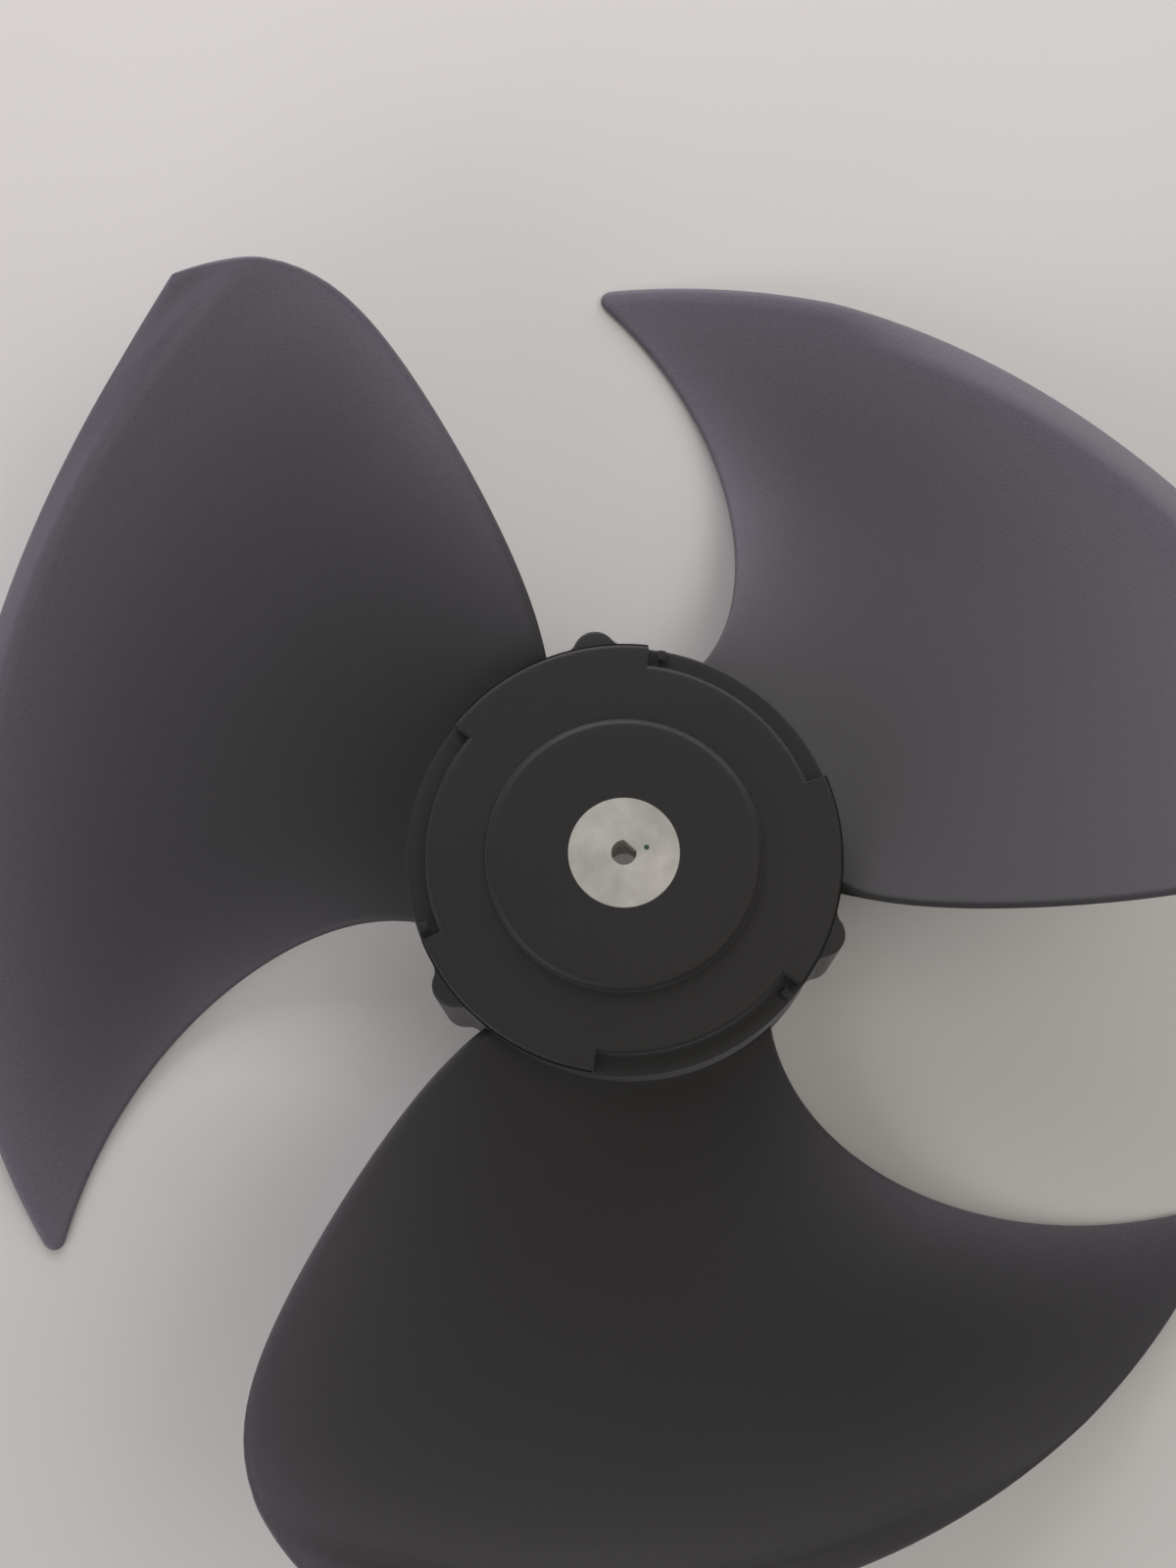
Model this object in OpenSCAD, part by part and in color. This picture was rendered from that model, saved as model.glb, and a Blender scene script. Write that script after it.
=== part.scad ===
// Three-blade axial fan wheel of an outdoor air conditioner unit, moulded in one piece
// round a turned metal bush with a D-shaped shaft bore. The wheel's axis is Z, its outlet
// side faces up, and the origin lies on the axis in the front face of the bush.

/* [Fan] */
// Diameter over the blade tips
fan_d = 460; // [400:1:540]
// Number of blades
blade_count = 3; // [2:1:4]
// Direction of the first blade's trailing root before its heel, in degrees anticlockwise from +X
blade_phase = 107.6; // [0:0.1:120]

/* [Blade edges] */
// Angle that a blade wraps round the hub, in degrees
root_wrap = 74.2; // [65:0.1:82]
// Angle that the trailing edge leans forward between root and tip
te_sweep = 10.6; // [4:0.1:14]
// Angle that the rounded trailing corner cuts off at the tip
te_corner = 10.2; // [4:0.1:14]
// Angle that the trailing edge is drawn in where it meets the hub
te_heel = 3.5; // [0:0.5:5]
// Angle that the leading edge reaches forward at the tip in a straight sweep
le_sweep = 22.5; // [8:0.5:24]
// Further angle of the leading edge that grows with the square of the span
le_hook = 9; // [0:0.5:14]
// Angle that the heel of the leading edge spreads along the hub
le_heel = 11.5; // [4:0.5:14]
// Height of the trailing edge at the hub, from the front face of the bush
te_root_z = -10.5; // [-20:0.5:-10]
// Height of the trailing edge at the tip
te_tip_z = 41; // [20:0.5:45]
// Height of the leading edge at the hub
le_root_z = -39.5; // [-44:0.5:-34]
// Height of the leading edge at the tip
le_tip_z = -85.5; // [-100:0.5:-75]
// How early the leading edge drops towards the tip's height
le_bow = 2.7; // [1.5:0.1:3.5]
// Radius of the rounded leading tip
tip_round = 3.5; // [2:0.5:5]

/* [Blade section] */
// Depth of the hollow in the front face at the root
camber_root = 5; // [0:0.5:8]
// Depth of the hollow in the front face at the tip
camber_tip = 19.5; // [8:0.5:24]
// Thickness of the blade
blade_t = 2.8; // [2:0.1:4]
// Thickness of the blade where it meets the hub
root_t = 6; // [4:0.5:8]
// Width of the band that thickens towards the hub
root_blend = 12; // [6:1:20]
// Thickness left at the outer edge
rim_t = 1; // [0.6:0.1:1.5]
// Width of the bent lip along the outer edge
lip_w = 13.5; // [8:0.5:20]
// Depth that the lip is bent back at the trailing edge
lip_te = 7; // [0:0.5:12]
// Depth that the bend gains further along
lip_drop = 14.5; // [6:0.5:20]
// Share of the chord, from the trailing edge, that has a lip
lip_reach = 0.74; // [0.5:0.02:0.9]

/* [Hub] */
// Diameter of the hub
hub_d = 138; // [124:1:150]
// Depth of the hub behind the front face of the bush
hub_depth = 58; // [54:1:66]
// Thickness of the hub's outer wall
wall_t = 3; // [2:0.25:4]
// Thickness of the hub's front wall
front_t = 3.5; // [2.5:0.25:4.5]
// Diameter of the raised disc in the middle
boss_d = 87; // [70:1:96]
// Height of the raised disc over the ring round it
boss_h = 3; // [1.5:0.25:4]
// Radius of the disc's rounded edge
boss_round = 2.5; // [1:0.25:3]
// Radius of the rounded edges of the ring
ring_round = 1.8; // [0.75:0.25:2.5]

/* [Hub notches] */
// Width of the notch cut into the hub's front rim
notch_w = 6.5; // [4:0.5:8]
// Depth of the notch below the ring
notch_h = 5; // [3:0.5:7]
// Angle that a notch covers
notch_angle = 61.8; // [45:0.1:75]
// Angle from a blade's trailing root forward to the next notch
notch_lead = 34; // [28:0.1:38]
// Angle between the stop block and the end of its notch
stop_gap = 4; // [2:0.5:8]
// Width of the stop block along the notch
stop_w = 2.4; // [1.5:0.1:4]
// Height of the stop block
stop_h = 2.5; // [1:0.25:2.75]
// Length of the stop block across the notch
stop_len = 3.25; // [2:0.25:5]
// Distance from the stop block out to the hub's wall
stop_inset = 0.5; // [0.25:0.25:1.25]

/* [Hub lugs] */
// Radius of the half-round lug on the hub's wall
lug_r = 7; // [5:0.25:8]
// Height of the lug over the hub's wall
lug_h = 5; // [3:0.1:6]
// Radius of the hollow between lug and wall
lug_fillet = 5; // [3:0.25:7]
// Angle from a blade's trailing root back to the lug
lug_lag = 9.7; // [7:0.1:14]
// Depth of the lug's top below the bush's front face
lug_top = 3.5; // [3.25:0.25:8]
// Chamfer round the lug's top
lug_edge = 1.2; // [0.5:0.1:2]

/* [Hub inside] */
// Number of ribs behind the front wall
rib_count = 6; // [3:1:12]
// Thickness of a rib
rib_t = 2.4; // [1.6:0.1:3.5]
// Depth of a rib at the sleeve
rib_depth = 25; // [16:0.5:27]
// Depth of a rib at the outer wall
rib_depth_out = 17; // [14:0.5:25]
// Wall of the sleeve round the bush
sleeve_t = 4; // [2.5:0.25:6]

/* [Bush] */
// Diameter of the bush
bush_d = 35; // [28:0.5:42]
// Length of the bush
bush_len = 28; // [24:0.5:34]
// Length of the bush that stands out of the sleeve at the back
bush_proud = 1; // [0.5:0.25:3]
// Diameter of the bore's D-shaped front section, for the turned-down end of the motor shaft
bore_d = 8; // [6:0.1:12]
// Distance from the bore's axis to its flat
bore_flat = 3; // [2.2:0.05:4]
// Length of the D-shaped section, which stops on the shoulder of the shaft
flat_len = 12; // [8:0.5:16]
// Width of that shoulder, by which the bore is wider behind the D-shaped section
shoulder = 1; // [0.5:0.25:2]
// Direction of the bore's flat, in degrees from +X
flat_dir = 48; // [0:1:120]
// Chamfer at the edges of the bush
bush_chamfer = 0.5; // [0.2:0.1:1]
// Width of the groove that locks the bush in the moulding
groove_w = 6; // [3:0.5:8]
// Depth of that groove
groove_d = 1.2; // [0.5:0.1:2]

/* [Hidden] */

$fn = 96;
overlap = 1;
edge_steps = 6;
rim_step = 0.5;
probe = 0.25;
probe_v = 0.002;
tip_step = 0.02;
fan_r = fan_d / 2;
hub_r = hub_d / 2;
bush_r = bush_d / 2;
boss_r = boss_d / 2;
sleeve_r = bush_r + sleeve_t;
notch_r = hub_r - notch_w;
ring_z = -boss_h;
notch_z = ring_z - notch_h;
pitch = 360 / blade_count;

// Blade rows run from inside the hub's wall to the outer edge, closer together on the lip
root_r = hub_r - wall_t / 2;
lip_r = fan_r - lip_w;
span_rows = 16;
row_power = 1.25;
lip_rows = 9;
chord_cells = 32;
rows = concat(
    [for (i = [0 : span_rows - 1]) root_r + (lip_r - root_r) * pow(i / span_rows, row_power)],
    [for (i = [0 : lip_rows]) lip_r + lip_w * sin(90 * i / lip_rows)]
);

// Distance from the edges of a blade over which they are rounded
edge_round = 2.2;
// Shares of the span over which the heels of the two edges fade
te_heel_span = 0.09;
le_heel_span = 0.125;
// Powers that set how late the trailing corner and how early the lip's drop come in
corner_power = 10;
lip_power = 0.85;
// Share of the lip's width over which its slope builds up
lip_bend = 0.35;

function span_at(r) = (r - hub_r) / (fan_r - hub_r);
function mix(a, b, s) = a + (b - a) * s;

function te_angle(t) =
    te_sweep * t + te_corner * pow(max(t, 0), corner_power) + te_heel * exp(-t / te_heel_span);
function te_z(t) = mix(te_root_z, te_tip_z, t);
function le_plain(t) = root_wrap + le_sweep * t + le_hook * t * t + le_heel * exp(-t / le_heel_span);
function le_z(t) = mix(le_root_z, le_tip_z, 1 - pow(max(1 - t, 0), le_bow));

// The leading tip is rounded by a circle that touches the outer edge and the leading edge
tip_slope = (le_plain(1) - le_plain(1 - tip_step)) / tip_step / (fan_r - hub_r);
tip_lean = atan(tip_slope * fan_r * PI / 180);
tip_back = tip_round / tan((90 - tip_lean) / 2);
function tip_angle(r) =
    let (y = r - fan_r + tip_round)
    le_plain(1) + (sqrt(max(tip_round * tip_round - y * y, 0)) - tip_back) / fan_r * 180 / PI;
function le_angle(r) =
    r < fan_r - tip_round * (1 + sin(tip_lean)) ? le_plain(span_at(r)) : tip_angle(r);

// Share of the full bend that the lip has reached at radius r
function lip_profile(r) =
    let (s = max(r - lip_r, 0) / lip_w)
    (s < lip_bend ? s * s / (2 * lip_bend) : s - lip_bend / 2) / (1 - lip_bend / 2);
function lip_depth(v) =
    let (u = min(v / lip_reach, 1))
    lip_te * (1 + cos(180 * u)) / 2 + lip_drop * sin(180 * pow(u, lip_power));

// A point of the blade's middle surface at radius r and share v of the chord
function blade_angle(r, v) = mix(te_angle(span_at(r)), le_angle(r), v);
function blade_z(r, v) =
    let (t = span_at(r))
    mix(te_z(t), le_z(t), v)
    - 4 * mix(camber_root, camber_tip, t) * v * (1 - v)
    - lip_depth(v) * lip_profile(r);
function blade_mid(r, v) =
    let (a = blade_angle(r, v))
    [r * cos(a), r * sin(a), blade_z(r, v)];

// Unit vector out of the front face, from two short steps along the surface
function blade_normal(r, v) =
    let (
        dr = r > fan_r - 2 * probe ? -probe : probe,
        dv = v > 0.5 ? -probe_v : probe_v,
        a = (blade_mid(r + dr, v) - blade_mid(r, v)) / dr,
        b = (blade_mid(r, v + dv) - blade_mid(r, v)) / dv,
        n = cross(a, b)
    )
    n / norm(n);

function chord_len(r) = r * PI / 180 * (le_angle(r) - te_angle(span_at(r)));
function round_in(s) = sqrt(1 - pow(1 - min(s / edge_round, 1), 2));
function thickness(r, v) =
    let (
        root = pow(max(1 - (r - hub_r) / root_blend, 0), 2),
        full = mix(blade_t, root_t, min(root, 1)),
        outer = mix(rim_t / blade_t, 1, round_in(fan_r - r))
    )
    full * outer * round_in(min(v, 1 - v) * chord_len(r));

// One ring of points round the section at radius r: out along the front, back along the rear
function chord_at(j) = (1 - cos(180 * j / chord_cells)) / 2;
function section(r) = [
    for (j = [0 : 2 * chord_cells - 1])
        let (
            front = j <= chord_cells,
            v = chord_at(front ? j : 2 * chord_cells - j)
        )
        blade_mid(r, v) + blade_normal(r, v) * thickness(r, v) / 2 * (front ? 1 : -1)
];

module blade() {
    ring = 2 * chord_cells;
    last = (len(rows) - 1) * ring;
    points = [for (r = rows) each section(r)];
    skin = [
        for (i = [0 : len(rows) - 2], j = [0 : ring - 1])
            let (
                a = i * ring + j,
                b = i * ring + (j + 1) % ring
            )
            each [[a, b, b + ring], [a, b + ring, a + ring]]
    ];
    inner_cap = [
        for (j = [0 : chord_cells - 1])
            let (k = ring - j)
            each [
                if (j > 0) [j, k % ring, j + 1],
                if (j < chord_cells - 1) [j + 1, k % ring, k - 1]
            ]
    ];
    outer_cap = [for (f = inner_cap) [last + f[2], last + f[1], last + f[0]]];
    polyhedron(points, concat(skin, inner_cap, outer_cap), convexity = 6);
}

module each_pitch() {
    for (k = [0 : blade_count - 1]) rotate([0, 0, blade_phase + k * pitch]) children();
}

// Points of a rounded upper edge, from the flat top at height z out to radius r
function edge_points(r, z, edge) = [
    for (i = [0 : edge_steps])
        [r - edge + edge * sin(90 * i / edge_steps), z - edge + edge * cos(90 * i / edge_steps)]
];

// Shell of the hub, open at the back: raised disc, ring and outer wall, with rounded edges
module hub_shell() {
    rotate_extrude() polygon(concat(
        [[0, 0]],
        edge_points(boss_r, 0, boss_round),
        [[boss_r, ring_z]],
        edge_points(hub_r, ring_z, ring_round),
        [
            [hub_r, -hub_depth],
            [hub_r - wall_t, -hub_depth],
            [hub_r - wall_t, notch_z - front_t],
            [notch_r - wall_t, notch_z - front_t],
            [notch_r - wall_t, ring_z - front_t],
            [boss_r - front_t, ring_z - front_t],
            [boss_r - front_t, -front_t],
            [0, -front_t]
        ]
    ));
}

// Material taken out of the rim for one notch, leaving a rounded edge on the ring
module notch_cut() {
    edge = edge_points(notch_r, ring_z, ring_round);
    rise = edge[0] + (edge[0] - edge[1]) * overlap;
    rotate([0, 0, notch_lead]) rotate_extrude(angle = notch_angle) polygon(concat(
        [rise],
        [for (i = [1 : edge_steps]) edge[i]],
        [
            [notch_r, notch_z],
            [hub_r + overlap, notch_z],
            [hub_r + overlap, ring_z + overlap],
            [rise[0], ring_z + overlap]
        ]
    ));
}

// The rim between two notches is cored from behind to keep its wall even
module rim_core() {
    gap = 2 * asin(wall_t / 2 / notch_r);
    rotate([0, 0, notch_lead + notch_angle + gap])
        rotate_extrude(angle = pitch - notch_angle - 2 * gap)
            translate([notch_r - wall_t - overlap, notch_z - front_t - overlap])
                square([notch_w + overlap - rim_step, notch_h + overlap - rim_step]);
}

// Small block on the notch's floor, short of its far end
module stop_block() {
    stop_at = notch_lead + notch_angle - stop_gap;
    rotate([0, 0, stop_at])
        translate([hub_r - stop_inset - stop_len, -stop_w / 2, notch_z - overlap])
            cube([stop_len, stop_w, stop_h + overlap]);
}

// Half-round lug down the hub's wall, with hollow flanks that run out on the wall
lug_sink = 0.1;
lug_c = hub_r + lug_h - lug_r;
lug_blend = hub_r + lug_fillet - lug_sink;
lug_reach = lug_r + lug_fillet - lug_sink;
lug_turn = acos((lug_blend * lug_blend + lug_c * lug_c - lug_reach * lug_reach) / (2 * lug_blend * lug_c));
module lug_flanks() {
    blend_x = lug_blend * cos(lug_turn);
    blend_y = lug_blend * sin(lug_turn);
    near = lug_r / lug_reach;
    foot = (hub_r - lug_sink) / lug_blend;
    difference() {
        polygon([
            [lug_c - lug_r / 2, -blend_y * foot],
            [blend_x * foot, -blend_y * foot],
            [mix(lug_c, blend_x, near), -blend_y * near],
            [mix(lug_c, blend_x, near), blend_y * near],
            [blend_x * foot, blend_y * foot],
            [lug_c - lug_r / 2, blend_y * foot]
        ]);
        for (side = [-1, 1]) translate([blend_x, side * blend_y]) circle(lug_fillet);
        circle(hub_r - wall_t / 2);
    }
}
module lug_nose() {
    translate([lug_c, 0, 0]) rotate_extrude() polygon([
        [0, -hub_depth],
        [lug_r, -hub_depth],
        [lug_r, -lug_top - lug_edge],
        [lug_r - lug_edge, -lug_top],
        [0, -lug_top]
    ]);
}
module lug() {
    rotate([0, 0, -lug_lag]) difference() {
        union() {
            lug_nose();
            translate([0, 0, -hub_depth])
                linear_extrude(hub_depth - lug_top - 2 * lug_edge) lug_flanks();
        }
        translate([0, 0, -hub_depth - overlap])
            cylinder(r = hub_r - wall_t / 2, h = hub_depth + 2 * overlap);
    }
}

// Tall at the sleeve and shallow at the wall, with its top edge inside the stepped front
module rib() {
    inner = sleeve_r - sleeve_t / 2;
    outer = hub_r - wall_t / 2;
    top = front_t / 2;
    rotate([90, 0, 0]) linear_extrude(rib_t, center = true) polygon([
        [inner, -top],
        [boss_r - front_t, -top],
        [boss_r - front_t, ring_z - top],
        [outer, ring_z - top],
        [outer, -rib_depth_out],
        [inner, -rib_depth]
    ]);
}

module sleeve() {
    translate([0, 0, -bush_len + bush_proud])
        cylinder(r = sleeve_r, h = bush_len - bush_proud - front_t / 2);
}

// Outline of the bush, also cut out of the hub, so that the two meet on every face
module bush_body() {
    groove_z = -bush_len / 2;
    rotate_extrude() polygon([
        [0, -bush_len],
        [bush_r - bush_chamfer, -bush_len],
        [bush_r, -bush_len + bush_chamfer],
        [bush_r, groove_z - groove_w / 2],
        [bush_r - groove_d, groove_z - groove_w / 2],
        [bush_r - groove_d, groove_z + groove_w / 2],
        [bush_r, groove_z + groove_w / 2],
        [bush_r, 0],
        [0, 0]
    ]);
}

module propeller() {
    color([0.16, 0.155, 0.17]) union() {
        difference() {
            union() {
                difference() {
                    hub_shell();
                    each_pitch() rim_core();
                }
                for (k = [0 : rib_count - 1]) rotate([0, 0, blade_phase + k * 360 / rib_count]) rib();
                sleeve();
                each_pitch() lug();
            }
            bush_body();
            each_pitch() notch_cut();
        }
        each_pitch() stop_block();
        each_pitch() blade();
    }
}

// Round and wider at the back, where the shaft goes in, and D-shaped at the front
module shaft_hole() {
    translate([0, 0, -bush_len - overlap])
        cylinder(d = bore_d + 2 * shoulder, h = bush_len + overlap - flat_len);
    difference() {
        translate([0, 0, -flat_len - overlap]) cylinder(d = bore_d, h = flat_len + 2 * overlap);
        rotate([0, 0, flat_dir])
            translate([bore_flat, -bore_d, -flat_len - 2 * overlap])
                cube([bore_d, 2 * bore_d, flat_len + 4 * overlap]);
    }
}

module shaft_bush() {
    color([0.75, 0.75, 0.74]) difference() {
        bush_body();
        shaft_hole();
    }
}

propeller();
shaft_bush();
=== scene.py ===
import math

import bmesh
import bpy
import numpy as np
from mathutils import Matrix, Vector


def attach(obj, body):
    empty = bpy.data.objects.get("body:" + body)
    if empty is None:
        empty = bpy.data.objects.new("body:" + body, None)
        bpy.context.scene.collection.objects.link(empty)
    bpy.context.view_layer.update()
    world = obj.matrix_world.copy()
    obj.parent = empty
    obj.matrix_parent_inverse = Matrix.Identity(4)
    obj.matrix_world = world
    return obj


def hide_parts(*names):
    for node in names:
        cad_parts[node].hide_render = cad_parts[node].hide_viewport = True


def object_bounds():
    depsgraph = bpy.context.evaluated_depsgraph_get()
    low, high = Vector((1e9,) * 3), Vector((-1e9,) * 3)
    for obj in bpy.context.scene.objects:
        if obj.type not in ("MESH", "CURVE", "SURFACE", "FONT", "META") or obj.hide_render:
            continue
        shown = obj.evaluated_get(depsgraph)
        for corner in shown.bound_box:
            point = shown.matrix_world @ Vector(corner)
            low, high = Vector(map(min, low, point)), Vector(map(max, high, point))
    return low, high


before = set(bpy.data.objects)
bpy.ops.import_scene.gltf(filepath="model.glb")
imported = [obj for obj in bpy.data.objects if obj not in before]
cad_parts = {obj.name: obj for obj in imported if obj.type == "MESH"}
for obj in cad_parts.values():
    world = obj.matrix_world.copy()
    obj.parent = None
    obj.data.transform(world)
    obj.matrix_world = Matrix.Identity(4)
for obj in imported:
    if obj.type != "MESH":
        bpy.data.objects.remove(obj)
cad_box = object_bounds()

# Lengths below are in millimetres, as in the part's source, and angles in degrees
MM = 0.001

# ---- Camera: the photograph's viewing angle and frame (1200 x 1600 pixels) ----
FOCAL_PX = 2240.0
FRAME_PX = (1200.0, 1600.0)
SENSOR_MM = 36.0
BUSH_CENTRE_PX = (636.66, 869.69)
CAMERA_DISTANCE = 687.0
CAMERA_TURN = (-0.2249, 0.0153, 0.0)


def make_camera():
    turn = Vector(CAMERA_TURN)
    spin = Matrix.Rotation(turn.length, 3, turn.normalized())
    flip = Matrix.Diagonal((1.0, -1.0, -1.0))
    to_camera = flip @ spin @ flip
    place = Vector((
        (BUSH_CENTRE_PX[0] - FRAME_PX[0] / 2) / FOCAL_PX * CAMERA_DISTANCE,
        (BUSH_CENTRE_PX[1] - FRAME_PX[1] / 2) / FOCAL_PX * CAMERA_DISTANCE,
        CAMERA_DISTANCE,
    ))
    to_world = to_camera.transposed()
    where = -(to_world @ (flip @ place)) * MM
    data = bpy.data.cameras.new("camera")
    data.sensor_width = SENSOR_MM
    data.lens = FOCAL_PX / FRAME_PX[1] * SENSOR_MM
    data.clip_end = 50
    camera = bpy.data.objects.new("camera", data)
    camera.matrix_world = Matrix.Translation(where) @ to_world.to_4x4()
    bpy.context.scene.collection.objects.link(camera)
    bpy.context.scene.camera = camera


# ---- Blades: the same surface as in the part's source, drawn finely ----
FAN_R = 230.0
HUB_R = 69.0
HUB_DEPTH = 58.0
WALL_T = 3.0
BLADES = 3
PHASE = 107.6
PITCH = 360.0 / BLADES

ROOT_WRAP = 74.2
TE_SWEEP = 10.6
TE_CORNER = 10.2
CORNER_POWER = 10.0
TE_HEEL = 3.5
TE_HEEL_SPAN = 0.09
LE_SWEEP = 22.5
LE_HOOK = 9.0
LE_HEEL = 11.5
LE_HEEL_SPAN = 0.125
TE_ROOT_Z = -10.5
TE_TIP_Z = 41.0
LE_ROOT_Z = -39.5
LE_TIP_Z = -85.5
LE_BOW = 2.7
TIP_ROUND = 3.5
CAMBER_ROOT = 5.0
CAMBER_TIP = 19.5
BLADE_T = 2.8
ROOT_T = 6.0
ROOT_BLEND = 12.0
RIM_T = 1.0
LIP_W = 13.5
LIP_TE = 7.0
LIP_DROP = 14.5
LIP_REACH = 0.74
LIP_POWER = 0.85
LIP_BEND = 0.35
EDGE_ROUND = 2.2


def mix(a, b, s):
    return a + (b - a) * s


def span_at(r):
    return (r - HUB_R) / (FAN_R - HUB_R)


def te_angle(t):
    return TE_SWEEP * t + TE_CORNER * np.maximum(t, 0) ** CORNER_POWER + TE_HEEL * np.exp(-t / TE_HEEL_SPAN)


def le_plain(t):
    return ROOT_WRAP + LE_SWEEP * t + LE_HOOK * t * t + LE_HEEL * np.exp(-t / LE_HEEL_SPAN)


def le_angle(r):
    slope = (le_plain(1.0) - le_plain(0.98)) / 0.02 / (FAN_R - HUB_R) * FAN_R * math.pi / 180
    lean = math.atan(slope)
    back = TIP_ROUND / math.tan((math.pi / 2 - lean) / 2)
    y = r - FAN_R + TIP_ROUND
    tip = le_plain(1.0) + np.degrees((np.sqrt(np.maximum(TIP_ROUND ** 2 - y * y, 0)) - back) / FAN_R)
    return np.where(r < FAN_R - TIP_ROUND * (1 + math.sin(lean)), le_plain(span_at(r)), tip)


def blade_mid(r, v):
    t = span_at(r)
    angle = np.radians(mix(te_angle(t), le_angle(r), v))
    te_z = mix(TE_ROOT_Z, TE_TIP_Z, t)
    le_z = mix(LE_ROOT_Z, LE_TIP_Z, 1 - np.maximum(1 - t, 0) ** LE_BOW)
    s = np.maximum(r - (FAN_R - LIP_W), 0) / LIP_W
    bend = np.where(s < LIP_BEND, s * s / (2 * LIP_BEND), s - LIP_BEND / 2) / (1 - LIP_BEND / 2)
    along = np.minimum(v / LIP_REACH, 1)
    lip = LIP_TE * (1 + np.cos(np.pi * along)) / 2 + LIP_DROP * np.sin(np.pi * along ** LIP_POWER)
    z = mix(te_z, le_z, v) - 4 * mix(CAMBER_ROOT, CAMBER_TIP, t) * v * (1 - v) - lip * bend
    return np.stack([r * np.cos(angle), r * np.sin(angle), z], axis=-1)


def blade_normal(r, v):
    dr = np.where(r > FAN_R - 0.5, -0.25, 0.25)
    dv = np.where(v > 0.5, -0.002, 0.002)
    a = (blade_mid(r + dr, v) - blade_mid(r, v)) / dr[..., None]
    b = (blade_mid(r, v + dv) - blade_mid(r, v)) / dv[..., None]
    n = np.cross(a, b)
    return n / np.linalg.norm(n, axis=-1, keepdims=True)


def round_in(s):
    return np.sqrt(1 - (1 - np.minimum(s / EDGE_ROUND, 1)) ** 2)


def thickness(r, v):
    root = np.minimum(np.maximum(1 - (r - HUB_R) / ROOT_BLEND, 0) ** 2, 1)
    chord = np.radians(r * (le_angle(r) - te_angle(span_at(r))))
    outer = mix(RIM_T / BLADE_T, 1, round_in(FAN_R - r))
    return mix(BLADE_T, ROOT_T, root) * outer * round_in(np.minimum(v, 1 - v) * chord)


CHORD_CELLS = 84
SPAN_ROWS = 46
LIP_ROWS = 22
# Depth in mm that the paler margin reaches in from each edge: part dust, part painted highlight for the light the
# edges catch
MARGIN_TE = 18.0
MARGIN_LE = 18.0
MARGIN_OUTER = 40.0
# How pale each blade's margin is painted at its trailing, leading and outer edge, as dust and painted light: the
# lower one, in shade, is painted darkest
BLADE_DUST_AND_LIGHT = ((0.90, 0.58, 1.0), (0.36, 0.80, 0.22), (0.06, 1.0, 1.0))


def blade_grid():
    """Radius and share of the chord at each point of a blade's front."""
    root_r = HUB_R - WALL_T / 2
    lip_r = FAN_R - LIP_W
    inner = root_r + (lip_r - root_r) * (np.arange(SPAN_ROWS) / SPAN_ROWS) ** 1.2
    outer = lip_r + LIP_W * np.sin(np.pi / 2 * np.arange(LIP_ROWS + 1) / LIP_ROWS)
    v = (1 - np.cos(np.pi * np.arange(CHORD_CELLS + 1) / CHORD_CELLS)) / 2
    return np.meshgrid(np.concatenate([inner, outer]), v, indexing="ij")


def blade_margins(dust_and_highlight):
    """How much of the pale margin, dust and painted highlight, shows at each point of a blade, from 0 inside to 1 at
    the edges, fading out toward the hub.
    """
    r, v = blade_grid()
    chord = np.radians(r * (le_angle(r) - te_angle(span_at(r))))
    te = dust_and_highlight[0] * np.exp(-v * chord / MARGIN_TE)
    le = dust_and_highlight[1] * np.exp(-(1 - v) * chord / MARGIN_LE)
    outer = dust_and_highlight[2] * np.exp(-(FAN_R - r) / MARGIN_OUTER)
    off_hub = np.clip((r - HUB_R) / (FAN_R - HUB_R) * 2, 0, 1)
    margin = (1 - (1 - te) * (1 - le) * (1 - outer)) * off_hub
    return np.concatenate([margin, margin[:, -2:0:-1]], axis=1).reshape(-1)


def blade_mesh():
    """Points and faces of one blade, closed, from inside the hub's wall to the outer edge."""
    rr, vv = blade_grid()
    mid = blade_mid(rr, vv)
    half = blade_normal(rr, vv) * (thickness(rr, vv) / 2)[..., None]
    front = mid + half
    back = (mid - half)[:, -2:0:-1]
    rings = np.concatenate([front, back], axis=1)
    n_rows, ring = rings.shape[:2]
    points = rings.reshape(-1, 3)
    faces = []
    for i in range(n_rows - 1):
        a = i * ring
        for j in range(ring):
            k = (j + 1) % ring
            faces.append((a + j, a + k, a + ring + k, a + ring + j))
    for base, flip in ((0, False), ((n_rows - 1) * ring, True)):
        for j in range(CHORD_CELLS):
            quad = [base + j, base + (ring - j) % ring, base + ring - j - 1, base + j + 1]
            quad = list(dict.fromkeys(quad))
            faces.append(tuple(quad[::-1] if flip else quad))
    return points, faces


# ---- Hub: one profile for the notches and one for the rim, blended at the notches' ends ----
BUSH_R = 17.5
BUSH_GAP = 0.04
BOSS_R = 43.5
BOSS_H = 3.0
BOSS_ROUND = 2.5
RING_ROUND = 1.8
NOTCH_W = 6.5
NOTCH_H = 5.0
NOTCH_ANGLE = 61.8
NOTCH_LEAD = 34.0
NOTCH_END = 0.4
FRONT_T = 3.5
SLEEVE_T = 4.0
SLEEVE_END = 27.0
LUG_R = 7.0
LUG_H = 5.0
LUG_FILLET = 5.0
LUG_LAG = 9.7
LUG_TOP = 3.5
LUG_EDGE = 1.2
STOP_GAP = 4.0
STOP_SIZE = (3.25, 2.4, 2.5)
STOP_INSET = 0.5
RIBS = 6
RIB_T = 2.4
RIB_DEPTH = 25.0
RIB_DEPTH_OUT = 17.0
NO_LUG = 99.0


def arc(cx, cz, radius, start, end, steps):
    a = np.radians(np.linspace(start, end, steps))
    return [(cx + radius * math.cos(x), cz + radius * math.sin(x), NO_LUG) for x in a]


def line(p, q, steps):
    """Points from p to q without q itself."""
    return [(mix(p[0], q[0], i / steps), mix(p[1], q[1], i / steps), NO_LUG) for i in range(steps)]


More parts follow.
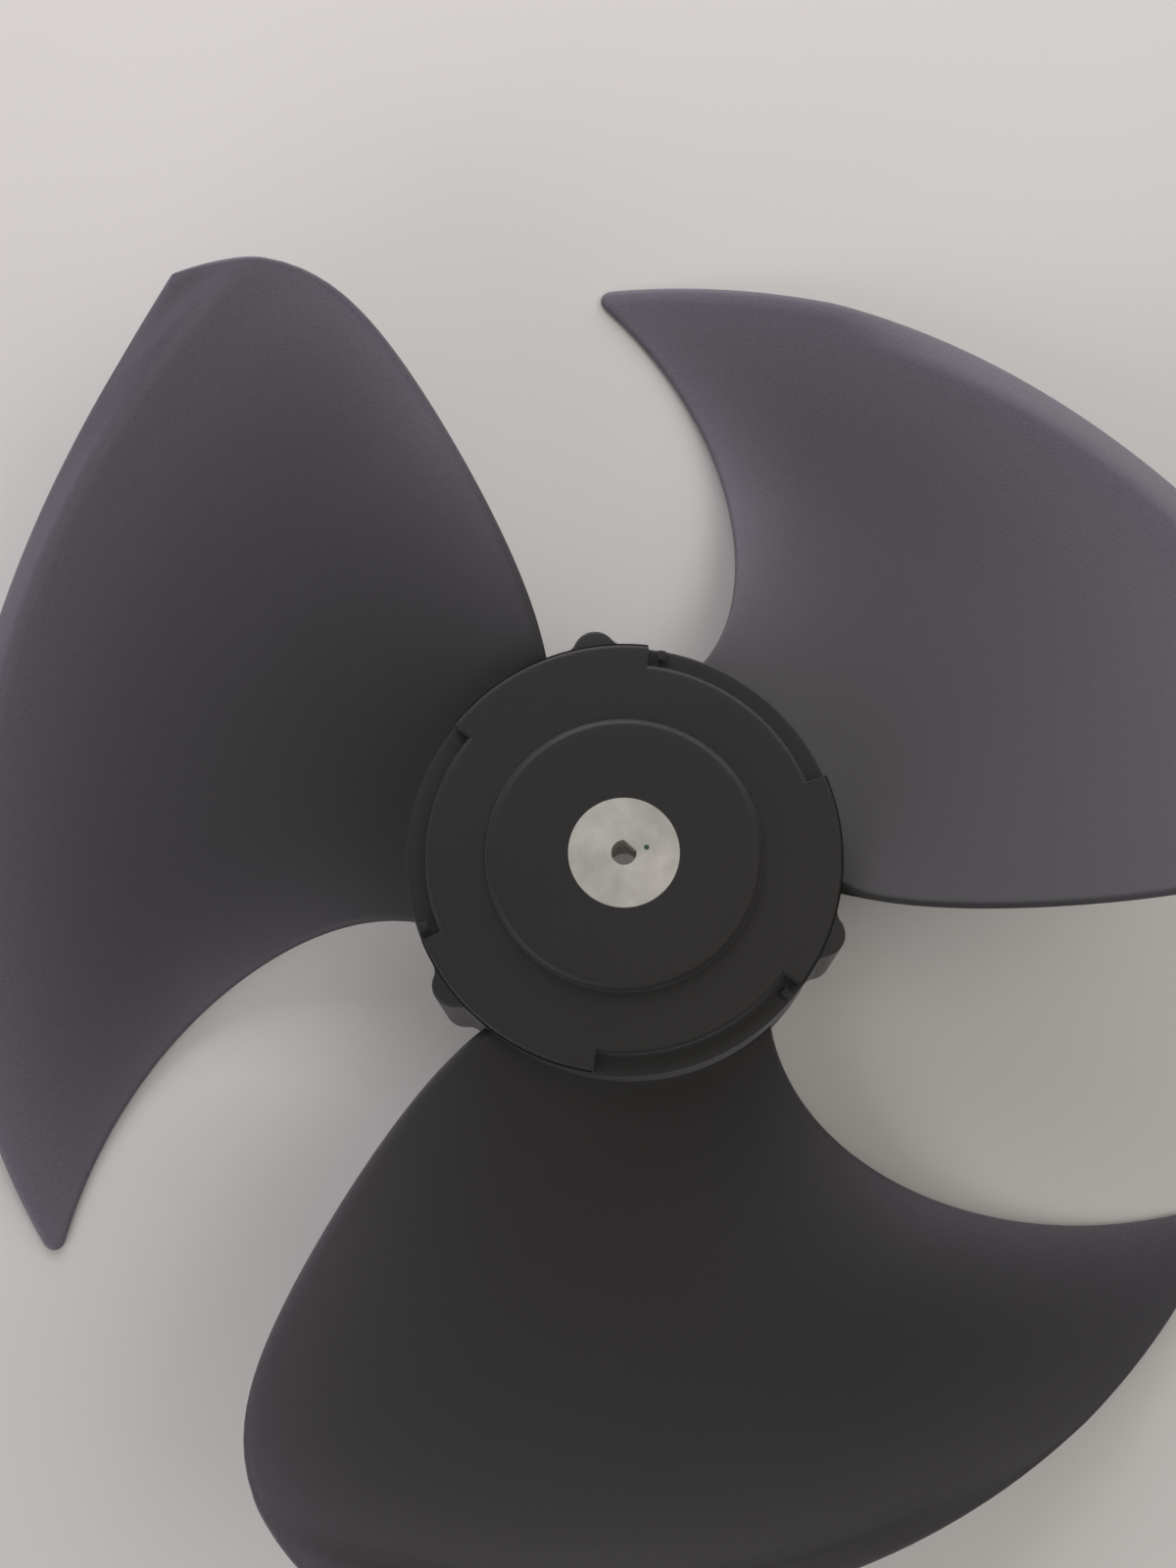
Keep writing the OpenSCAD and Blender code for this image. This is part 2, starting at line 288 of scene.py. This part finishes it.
def hub_profiles():
    ring_z = -BOSS_H
    notch_z = ring_z - NOTCH_H
    notch_r = HUB_R - NOTCH_W
    hole = BUSH_R + BUSH_GAP
    head = line((hole, -SLEEVE_END + 0.4), (hole, -0.3), 3)
    head += arc(hole + 0.3, -0.3, 0.3, 180, 90, 4)
    head += line((hole + 0.5, 0), (BOSS_R - BOSS_ROUND, 0), 6)
    head += arc(BOSS_R - BOSS_ROUND, -BOSS_ROUND, BOSS_ROUND, 90, 0, 11)
    head += arc(BOSS_R + 0.35, ring_z + 0.35, 0.35, 180, 270, 5)
    head += line((BOSS_R + 0.6, ring_z), (notch_r - RING_ROUND, ring_z), 5)
    edge = notch_r - RING_ROUND
    notch = arc(edge, ring_z - RING_ROUND, RING_ROUND, 90, 0, 9)
    notch += line((notch_r, ring_z - RING_ROUND - 0.4), (notch_r, notch_z + 0.5), 2)
    notch += arc(notch_r + 0.5, notch_z + 0.5, 0.5, 180, 270, 5)
    notch += line((notch_r + 1, notch_z), (HUB_R - 0.7, notch_z), 4)
    notch += arc(HUB_R - 0.7, notch_z - 0.7, 0.7, 90, 0, 5)
    rim = line((edge, ring_z), (HUB_R - RING_ROUND, ring_z), 6)
    rim += arc(HUB_R - RING_ROUND, ring_z - RING_ROUND, RING_ROUND, 90, 0, 9)
    shrinks = ((0.0, NO_LUG), (0.0, LUG_EDGE), (0.08, 0.75), (0.25, 0.42), (0.55, 0.15), (0.9, 0.04), (LUG_EDGE, 0.0))
    rim += [(HUB_R, -LUG_TOP - dz, s) for dz, s in shrinks]
    rim += [(HUB_R, notch_z - 0.2, 0.0), (HUB_R, notch_z - 0.45, 0.0), (HUB_R, notch_z - 0.7, 0.0)]
    tail = [(HUB_R, z, 0.0) for z in np.linspace(notch_z - 1.5, -HUB_DEPTH + 0.5, 8)]
    tail += [(HUB_R - 0.15, -HUB_DEPTH + 0.15, 0.15), (HUB_R - 0.5, -HUB_DEPTH, 0.5)]
    inner_r = HUB_R - WALL_T
    tail += [(inner_r + 0.5, -HUB_DEPTH, NO_LUG), (inner_r + 0.15, -HUB_DEPTH + 0.15, NO_LUG)]
    tail += line((inner_r, -HUB_DEPTH + 0.5), (inner_r, notch_z - FRONT_T - 0.6), 6)
    step_r = notch_r - WALL_T
    notch_in = [(inner_r, notch_z - FRONT_T - 0.3, NO_LUG), (inner_r - 0.4, notch_z - FRONT_T, NO_LUG)]
    notch_in += [(step_r + 0.5, notch_z - FRONT_T, NO_LUG), (step_r, notch_z - FRONT_T + 0.4, NO_LUG)]
    rim_in = [(inner_r - 0.4, notch_z - FRONT_T, NO_LUG), (inner_r - 0.5, ring_z - FRONT_T - 0.9, NO_LUG)]
    rim_in += [(inner_r - 0.9, ring_z - FRONT_T - 0.5, NO_LUG), (step_r, ring_z - FRONT_T - 0.5, NO_LUG)]
    end = [(step_r, ring_z - FRONT_T - 0.3, NO_LUG), (step_r - 0.3, ring_z - FRONT_T, NO_LUG)]
    end += line((step_r - 3, ring_z - FRONT_T), (BOSS_R - FRONT_T + 0.3, ring_z - FRONT_T), 4)
    end += [(BOSS_R - FRONT_T, ring_z - FRONT_T + 0.4, NO_LUG), (BOSS_R - FRONT_T, -FRONT_T - 0.4, NO_LUG)]
    sleeve_r = BUSH_R + SLEEVE_T
    end += line((BOSS_R - FRONT_T - 0.4, -FRONT_T), (sleeve_r + 1, -FRONT_T), 4)
    end += arc(sleeve_r + 1, -FRONT_T - 1, 1, 90, 180, 5)
    end += line((sleeve_r, -FRONT_T - 3), (sleeve_r, -SLEEVE_END + 0.5), 4)
    end += [(sleeve_r, -SLEEVE_END + 0.4, NO_LUG), (sleeve_r - 0.4, -SLEEVE_END, NO_LUG)]
    end += [(hole + 0.4, -SLEEVE_END, NO_LUG)]
    return np.array(head + notch + tail + notch_in + end), np.array(head + rim + tail + rim_in + end)


def smooth(x):
    x = np.clip(x, 0, 1)
    return x * x * (3 - 2 * x)


def lug_bump(a):
    """How far the lug stands over the hub's wall at an angle from the lug's middle."""
    centre = HUB_R + LUG_H - LUG_R
    y = np.abs(centre * np.sin(np.radians(a)))
    nose = centre * np.cos(np.radians(a)) + np.sqrt(np.maximum(LUG_R ** 2 - y * y, 0)) - HUB_R
    blend_r = HUB_R + LUG_FILLET
    reach = LUG_R + LUG_FILLET
    turn = math.acos((blend_r ** 2 + centre ** 2 - reach ** 2) / (2 * blend_r * centre))
    gap = np.abs(np.radians(a)) - turn
    off = blend_r * np.sin(np.abs(gap))
    hollow = blend_r * np.cos(gap) - np.sqrt(np.maximum(LUG_FILLET ** 2 - off * off, 0)) - HUB_R
    touch = math.atan2(
        mix(0, blend_r * math.sin(turn), LUG_R / reach),
        mix(centre, blend_r * math.cos(turn), LUG_R / reach),
    )
    flank = np.where(np.abs(np.radians(a)) < turn, hollow, 0)
    return np.maximum(np.where(np.abs(np.radians(a)) < touch, nose, flank), 0)


def hub_angles():
    base = np.arange(0, PITCH, 2.0)
    start, stop = NOTCH_LEAD, NOTCH_LEAD + NOTCH_ANGLE
    ends = [start + NOTCH_END * x for x in np.linspace(-0.2, 1.2, 9)]
    ends += [stop - NOTCH_END * x for x in np.linspace(-0.2, 1.2, 9)]
    lug = list(PITCH - LUG_LAG + np.arange(-8, 8.01, 0.5))
    one = np.unique(np.round(np.concatenate([base, ends, lug]), 4))
    return np.concatenate([one + k * PITCH for k in range(BLADES)])


def hub_mesh():
    notch, rim = hub_profiles()
    angles = hub_angles()
    local = np.mod(angles, PITCH)
    start, stop = NOTCH_LEAD, NOTCH_LEAD + NOTCH_ANGLE
    share = smooth((local - start) / NOTCH_END) * smooth((stop - local) / NOTCH_END)
    bump = lug_bump(local - (PITCH - LUG_LAG))
    profile = mix(rim[None], notch[None], share[:, None, None])
    shrink = rim[None, :, 2]
    r = profile[..., 0] + np.maximum(bump[:, None] - shrink, 0)
    turn = np.radians(angles + PHASE)[:, None]
    points = np.stack([r * np.cos(turn), r * np.sin(turn), profile[..., 1]], axis=-1)
    n, m = points.shape[:2]
    faces = []
    for i in range(n):
        a, b = i * m, (i + 1) % n * m
        for j in range(m):
            k = (j + 1) % m
            faces.append((a + j, a + k, b + k, b + j))
    return points.reshape(-1, 3), faces


def prism(outline, width, bevel):
    """A flat outline in X and Z, given a thickness along Y and rounded edges."""
    bm = bmesh.new()
    near = [bm.verts.new((x, -width / 2, z)) for x, z in outline]
    face = bm.faces.new(near)
    out = bmesh.ops.extrude_face_region(bm, geom=[face])
    moved = [v for v in out["geom"] if isinstance(v, bmesh.types.BMVert)]
    bmesh.ops.translate(bm, verts=moved, vec=(0, width, 0))
    bmesh.ops.recalc_face_normals(bm, faces=bm.faces)
    bmesh.ops.bevel(bm, geom=bm.edges[:], offset=bevel, segments=3, profile=0.5, affect="EDGES")
    points = np.array([v.co[:] for v in bm.verts])
    index = {v: i for i, v in enumerate(bm.verts)}
    faces = [tuple(index[v] for v in f.verts) for f in bm.faces]
    bm.free()
    return points, faces


def rib_mesh(under_notch):
    """A rib behind the front wall; under a notch its top steps down with the notch's floor."""
    inner = BUSH_R + SLEEVE_T / 2
    outer = HUB_R - WALL_T / 2
    step = HUB_R - NOTCH_W - WALL_T / 2
    top = -FRONT_T / 2
    ring = -BOSS_H + top
    floor = ring - NOTCH_H if under_notch else ring
    outline = [(inner, top), (BOSS_R - FRONT_T, top), (BOSS_R - FRONT_T, ring)]
    outline += [(step, ring), (step, floor)] if under_notch else []
    outline += [(outer, floor), (outer, -RIB_DEPTH_OUT), (inner, -RIB_DEPTH)]
    return prism(outline, RIB_T, 0.35)


def stop_mesh():
    floor = -BOSS_H - NOTCH_H
    length, width, height = STOP_SIZE
    outer = HUB_R - STOP_INSET
    outline = [
        (outer - length, floor - 1), (outer, floor - 1),
        (outer, floor + height), (outer - length, floor + height),
    ]
    return prism(outline, width, 0.3)


def turned(points, angle):
    c, s = math.cos(math.radians(angle)), math.sin(math.radians(angle))
    x, y, z = points.T
    return np.stack([c * x - s * y, s * x + c * y, z], axis=1)


def make_wheel():
    shells = [hub_mesh()]
    blade = blade_mesh()
    stop = stop_mesh()
    ribs = (rib_mesh(under_notch=False), rib_mesh(under_notch=True))
    for k in range(BLADES):
        shells.append((turned(blade[0], PHASE + k * PITCH), blade[1], blade_margins(BLADE_DUST_AND_LIGHT[k])))
        at = PHASE + k * PITCH + NOTCH_LEAD + NOTCH_ANGLE - STOP_GAP
        shells.append((turned(stop[0], at), stop[1]))
    for k in range(RIBS):
        rib = ribs[k % 2]
        shells.append((turned(rib[0], PHASE + k * 360 / RIBS), rib[1]))
    points, faces, margins, base = [], [], [], 0
    for shell in shells:
        points.append(shell[0])
        faces += [tuple(base + i for i in face) for face in shell[1]]
        margins.append(shell[2] if len(shell) > 2 else np.zeros(len(shell[0])))
        base += len(shell[0])
    mesh = bpy.data.meshes.new("fan_wheel")
    mesh.from_pydata((np.concatenate(points) * MM).tolist(), [], faces)
    bm = bmesh.new()
    bm.from_mesh(mesh)
    bmesh.ops.recalc_face_normals(bm, faces=bm.faces)
    bm.to_mesh(mesh)
    bm.free()
    for face in mesh.polygons:
        face.use_smooth = True
    mesh.set_sharp_from_angle(angle=math.radians(38))
    # Share of the pale margin at each point: part dust, part painted highlight
    layer = mesh.attributes.new("edge_dust_and_highlight", "FLOAT", "POINT")
    layer.data.foreach_set("value", np.concatenate(margins))
    wheel = bpy.data.objects.new("fan_wheel", mesh)
    bpy.context.scene.collection.objects.link(wheel)
    return wheel


# ---- Materials ----
def node(tree, kind, **settings):
    made = tree.nodes.new(kind)
    for key, value in settings.items():
        if key in made.inputs:
            made.inputs[key].default_value = value
        else:
            setattr(made, key, value)
    return made


def plastic():
    mat = bpy.data.materials.new("black_plastic")
    mat.use_nodes = True
    tree = mat.node_tree
    link = tree.links.new
    shader = tree.nodes["Principled BSDF"]
    shader.inputs["Sheen Weight"].default_value = 0.13
    shader.inputs["Sheen Roughness"].default_value = 0.5
    shader.inputs["Sheen Tint"].default_value = (0.97, 0.92, 1.0, 1)
    shader.inputs["Specular Tint"].default_value = (0.97, 0.92, 1.0, 1)
    place = node(tree, "ShaderNodeTexCoord")
    cloud = node(tree, "ShaderNodeTexNoise", Scale=9.0, Detail=3.0, Roughness=0.5)
    grain = node(tree, "ShaderNodeTexNoise", Scale=1400.0, Detail=2.0, Roughness=0.6)
    link(place.outputs["Object"], cloud.inputs["Vector"])
    link(place.outputs["Object"], grain.inputs["Vector"])
    tint = node(tree, "ShaderNodeValToRGB")
    tint.color_ramp.elements[0].position = 0.3
    tint.color_ramp.elements[0].color = (0.0084, 0.0092, 0.0056, 1)
    tint.color_ramp.elements[1].position = 0.75
    tint.color_ramp.elements[1].color = (0.0108, 0.0117, 0.0076, 1)
    speckle = node(tree, "ShaderNodeMapRange")
    speckle.inputs["From Min"].default_value = 0.3
    speckle.inputs["From Max"].default_value = 0.7
    speckle.inputs["To Min"].default_value = 0.82
    speckle.inputs["To Max"].default_value = 1.18
    link(grain.outputs["Fac"], speckle.inputs["Value"])
    mottle = node(tree, "ShaderNodeMath", operation="MULTIPLY")
    link(cloud.outputs["Fac"], mottle.inputs[0])
    link(speckle.outputs["Result"], mottle.inputs[1])
    link(mottle.outputs["Value"], tint.inputs["Fac"])
    # Pale purple-grey margin along the blade edges, mixed over the body colour: part dust, part painted highlight for
    # the light the edges catch
    edge = node(tree, "ShaderNodeAttribute", attribute_name="edge_dust_and_highlight")
    dust_and_highlight = node(tree, "ShaderNodeMath", operation="MULTIPLY")
    link(edge.outputs["Fac"], dust_and_highlight.inputs[0])
    link(speckle.outputs["Result"], dust_and_highlight.inputs[1])
    dust_and_highlight_mix = node(tree, "ShaderNodeMix", data_type="RGBA")
    dust_and_highlight_mix.inputs[7].default_value = (0.130, 0.121, 0.145, 1)
    link(dust_and_highlight.outputs["Value"], dust_and_highlight_mix.inputs[0])
    link(tint.outputs["Color"], dust_and_highlight_mix.inputs[6])
    link(dust_and_highlight_mix.outputs[2], shader.inputs["Base Color"])
    rough = node(tree, "ShaderNodeMapRange")
    rough.inputs["To Min"].default_value = 0.52
    rough.inputs["To Max"].default_value = 0.58
    link(cloud.outputs["Fac"], rough.inputs["Value"])
    link(rough.outputs["Result"], shader.inputs["Roughness"])
    bump = node(tree, "ShaderNodeBump", Strength=0.42, Distance=0.0003)
    link(grain.outputs["Fac"], bump.inputs["Height"])
    link(bump.outputs["Normal"], shader.inputs["Normal"])
    return mat


PAINT_AT = (7.1, 1.6)
PAINT_R = 0.85


def bush_metal():
    mat = bpy.data.materials.new("turned_metal")
    mat.use_nodes = True
    tree = mat.node_tree
    link = tree.links.new
    shader = tree.nodes["Principled BSDF"]
    shader.inputs["Metallic"].default_value = 0.65
    place = node(tree, "ShaderNodeTexCoord")
    cloud = node(tree, "ShaderNodeTexNoise", Scale=120.0, Detail=4.0, Roughness=0.6)
    link(place.outputs["Object"], cloud.inputs["Vector"])
    tint = node(tree, "ShaderNodeValToRGB")
    tint.color_ramp.elements[0].position = 0.3
    tint.color_ramp.elements[0].color = (0.56, 0.54, 0.49, 1)
    tint.color_ramp.elements[1].position = 0.7
    tint.color_ramp.elements[1].color = (0.70, 0.68, 0.622, 1)
    link(cloud.outputs["Fac"], tint.inputs["Fac"])
    apart = node(tree, "ShaderNodeVectorMath", operation="DISTANCE")
    apart.inputs[1].default_value = (PAINT_AT[0] * MM, PAINT_AT[1] * MM, 0)
    link(place.outputs["Object"], apart.inputs[0])
    inside = node(tree, "ShaderNodeMapRange")
    inside.inputs["From Min"].default_value = PAINT_R * 0.8 * MM
    inside.inputs["From Max"].default_value = PAINT_R * 1.15 * MM
    inside.inputs["To Min"].default_value = 1.0
    inside.inputs["To Max"].default_value = 0.0
    link(apart.outputs["Value"], inside.inputs["Value"])
    paint = node(tree, "ShaderNodeMix", data_type="RGBA")
    paint.inputs[7].default_value = (0.05, 0.11, 0.08, 1)
    link(inside.outputs["Result"], paint.inputs[0])
    link(tint.outputs["Color"], paint.inputs[6])
    link(paint.outputs[2], shader.inputs["Base Color"])
    rough = node(tree, "ShaderNodeMapRange")
    rough.inputs["To Min"].default_value = 0.38
    rough.inputs["To Max"].default_value = 0.52
    link(cloud.outputs["Fac"], rough.inputs["Value"])
    link(rough.outputs["Result"], shader.inputs["Roughness"])
    rings = node(tree, "ShaderNodeTexWave", wave_type="RINGS", rings_direction="Z", Scale=900.0, Distortion=1.5, Detail=2.0)
    link(place.outputs["Object"], rings.inputs["Vector"])
    bump = node(tree, "ShaderNodeBump", Strength=0.15, Distance=0.0002)
    link(rings.outputs["Fac"], bump.inputs["Height"])
    link(bump.outputs["Normal"], shader.inputs["Normal"])
    return mat


def floor_material():
    mat = bpy.data.materials.new("pale_floor")
    mat.use_nodes = True
    tree = mat.node_tree
    link = tree.links.new
    shader = tree.nodes["Principled BSDF"]
    shader.inputs["Roughness"].default_value = 0.7
    place = node(tree, "ShaderNodeTexCoord")
    cloud = node(tree, "ShaderNodeTexNoise", Scale=1.6, Detail=3.0, Roughness=0.5)
    link(place.outputs["Object"], cloud.inputs["Vector"])
    tint = node(tree, "ShaderNodeValToRGB")
    tint.color_ramp.elements[0].color = (0.712, 0.690, 0.660, 1)
    tint.color_ramp.elements[1].color = (0.772, 0.750, 0.720, 1)
    link(cloud.outputs["Fac"], tint.inputs["Fac"])
    link(tint.outputs["Color"], shader.inputs["Base Color"])
    away = node(tree, "ShaderNodeVectorMath", operation="LENGTH")
    link(place.outputs["Object"], away.inputs[0])
    far = node(tree, "ShaderNodeMapRange", interpolation_type="SMOOTHSTEP")
    far.inputs["From Min"].default_value = FAR_START
    far.inputs["From Max"].default_value = FAR_END
    far.inputs["To Max"].default_value = FAR_PALE
    link(away.outputs["Value"], far.inputs["Value"])
    ray = node(tree, "ShaderNodeLightPath")
    seen = ray.outputs["Is Camera Ray"]
    for kind in ("Is Glossy Ray", "Is Transmission Ray"):
        either = node(tree, "ShaderNodeMath", operation="MAXIMUM")
        link(seen, either.inputs[0])
        link(ray.outputs[kind], either.inputs[1])
        seen = either.outputs["Value"]
    shown = node(tree, "ShaderNodeMath", operation="MULTIPLY")
    link(far.outputs["Result"], shown.inputs[0])
    link(seen, shown.inputs[1])
    shader.inputs["Emission Color"].default_value = (*PALE, 1)
    link(shown.outputs["Value"], shader.inputs["Emission Strength"])
    return mat


# ---- Stage and light ----
FLOOR_R = 9.0
FLOOR_GAP = 0.0002
# The floor far from the part, past the lamps, shows as pale as the near floor
FAR_START = 0.7
FAR_END = 2.0
FAR_PALE = 0.37
PALE = (1.0, 0.965, 0.93)


def make_floor(height):
    mesh = bpy.data.meshes.new("floor")
    rim = [2 * math.pi * k / 96 for k in range(96)]
    mesh.from_pydata([(FLOOR_R * math.cos(a), FLOOR_R * math.sin(a), height) for a in rim], [], [tuple(range(96))])
    floor = bpy.data.objects.new("floor", mesh)
    floor.data.materials.append(floor_material())
    bpy.context.scene.collection.objects.link(floor)


WORLD = (1.0, 0.96, 0.93)
WORLD_HIGH = 0.13
WORLD_LOW = 0.50
# Sine of the elevation up to which the world stays pale, and from which it is dim
WORLD_FADE = (0.04, 0.42)
LOW_SPREAD = 110
# name, azimuth and elevation it shines from, distance, width in metres, watts, colour
LAMPS = (
    ("window", 115, 36, 0.95, 0.6, 2.6, (0.955, 0.925, 1.0)),
    ("window_side", 105, 14, 1.7, 0.8, 3.2, (0.95, 0.925, 1.0)),
    ("near", 60, 18, 0.95, 0.6, 0.98, (1.0, 0.99, 0.97)),
    ("left", 240, 35, 1.7, 1.0, 6.0, (0.95, 0.93, 1.0)),
    ("left_low", 215, 14, 1.7, 0.8, 2.0, (0.98, 0.97, 1.0)),
    ("front", 300, 60, 1.7, 1.0, 2.1, (1.0, 0.99, 0.92)),
    ("right", 350, 55, 1.7, 1.0, 4.7, (1.0, 0.985, 0.92)),
)


def area_lamp(name, azimuth, elevation, distance, width, watts, colour):
    """A square soft lamp that faces the part's origin."""
    data = bpy.data.lights.new(name, "AREA")
    data.shape = "SQUARE"
    data.size = width
    data.energy = watts
    data.color = colour
    if elevation < 20:
        data.spread = math.radians(LOW_SPREAD)
    lamp = bpy.data.objects.new(name, data)
    a, e = math.radians(azimuth), math.radians(elevation)
    toward = Vector((math.cos(a) * math.cos(e), math.sin(a) * math.cos(e), math.sin(e)))
    lamp.location = toward * distance
    lamp.rotation_euler = (-toward).to_track_quat("-Z", "Y").to_euler()
    bpy.context.scene.collection.objects.link(lamp)


def make_light():
    world = bpy.data.worlds.new("world")
    bpy.context.scene.world = world
    world.use_nodes = True
    tree = world.node_tree
    back = tree.nodes["Background"]
    back.inputs["Color"].default_value = (*WORLD, 1)
    place = node(tree, "ShaderNodeTexCoord")
    split = node(tree, "ShaderNodeSeparateXYZ")
    fade = node(tree, "ShaderNodeMapRange", interpolation_type="SMOOTHSTEP")
    fade.inputs["From Min"].default_value = WORLD_FADE[0]
    fade.inputs["From Max"].default_value = WORLD_FADE[1]
    fade.inputs["To Min"].default_value = WORLD_LOW
    fade.inputs["To Max"].default_value = WORLD_HIGH
    tree.links.new(place.outputs["Generated"], split.inputs["Vector"])
    tree.links.new(split.outputs["Z"], fade.inputs["Value"])
    tree.links.new(fade.outputs["Result"], back.inputs["Strength"])
    for lamp in LAMPS:
        area_lamp(*lamp)


make_camera()
make_floor(float(cad_box[0][2]) - FLOOR_GAP)
make_light()

wheel = make_wheel()
wheel.data.materials.append(plastic())
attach(wheel, "root")
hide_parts("propeller")

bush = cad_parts["shaft_bush"]
metal = bush_metal()
for place in bush.material_slots:
    place.material = metal

scene = bpy.context.scene
scene.view_settings.view_transform = "Standard"
